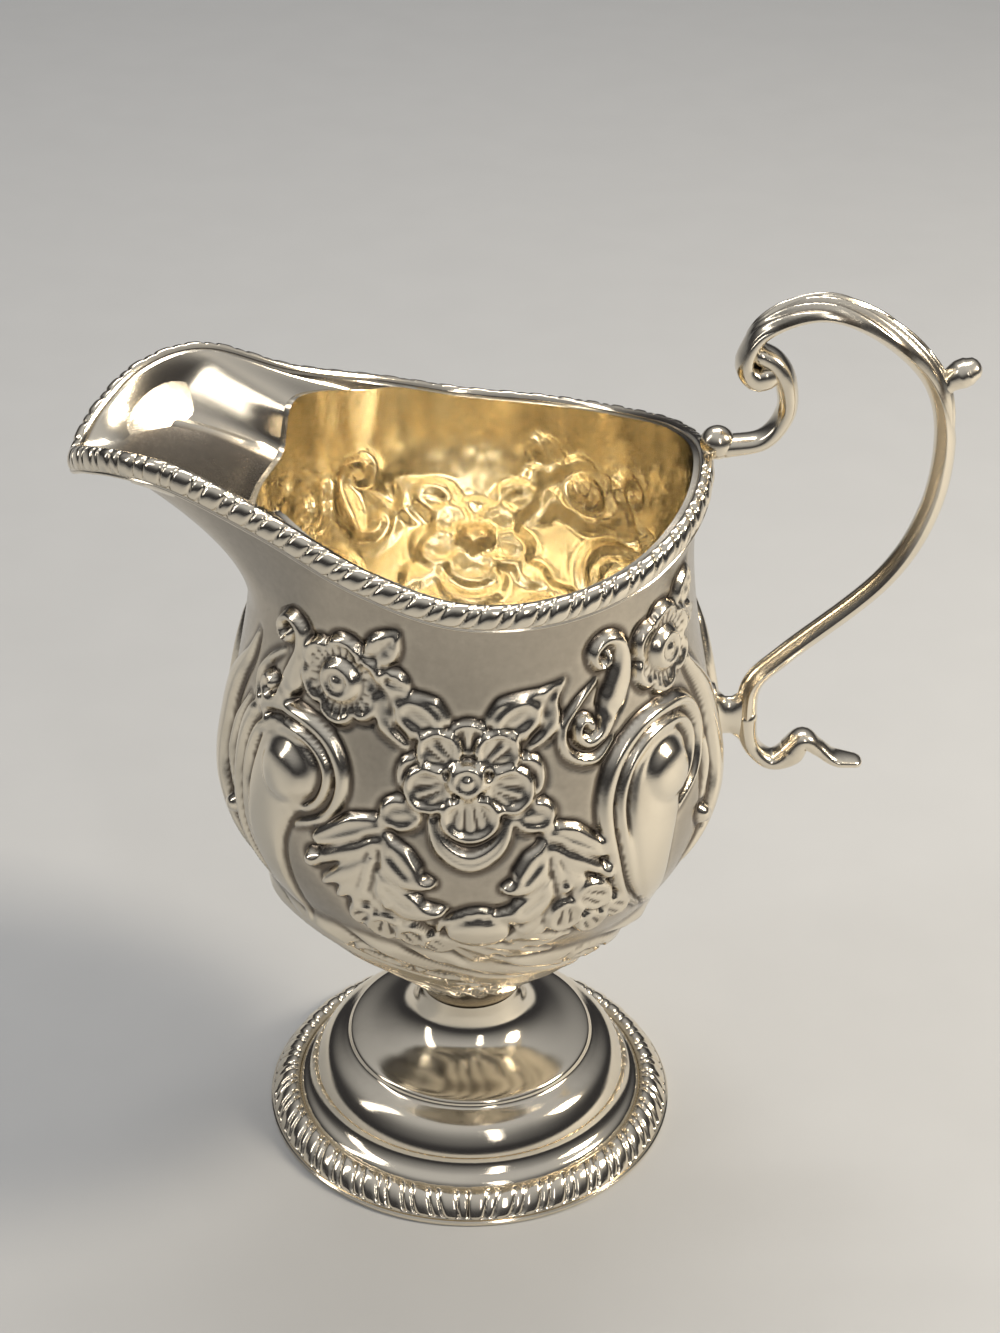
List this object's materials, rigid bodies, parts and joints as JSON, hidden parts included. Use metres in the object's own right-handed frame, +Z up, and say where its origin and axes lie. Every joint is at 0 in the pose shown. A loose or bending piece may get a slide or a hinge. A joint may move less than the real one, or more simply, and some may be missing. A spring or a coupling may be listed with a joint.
{
  "type": "cream jug",
  "caption": "Round-bellied silver cream jug for pouring cream, with an applied spout, a gadrooned rim, a scroll handle and a spreading stepped foot.",
  "frame": {"origin": "centre of the ring on which the foot stands, on the axis of the bowl", "axes": "+Z up along the axis of the bowl, +X towards the handle, -X towards the lip of the spout"},
  "size_m": [0.1218, 0.0714, 0.1346],
  "materials": {
    "satin_silver": "old silver sheet with a satin face and dark toning in the hollows of the relief",
    "bright_silver": "polished silver with fine scratches and dark toning in the grooves",
    "gilt": "satin gilding on the inside of the bowl and neck"
  },
  "bodies": {
    "root": {"body": "satin_silver", "spout": "satin_silver", "rim_gadroon": "bright_silver", "rim_ball": "bright_silver", "handle_scroll": "bright_silver", "handle_leaf": "bright_silver", "thumb_spur": "bright_silver", "handle_strut": "bright_silver", "handle_socket": "bright_silver", "handle_tail": "bright_silver", "foot": "bright_silver", "foot_gadroon": "bright_silver", "foot_rim": "bright_silver"}
  },
  "joints": []
}
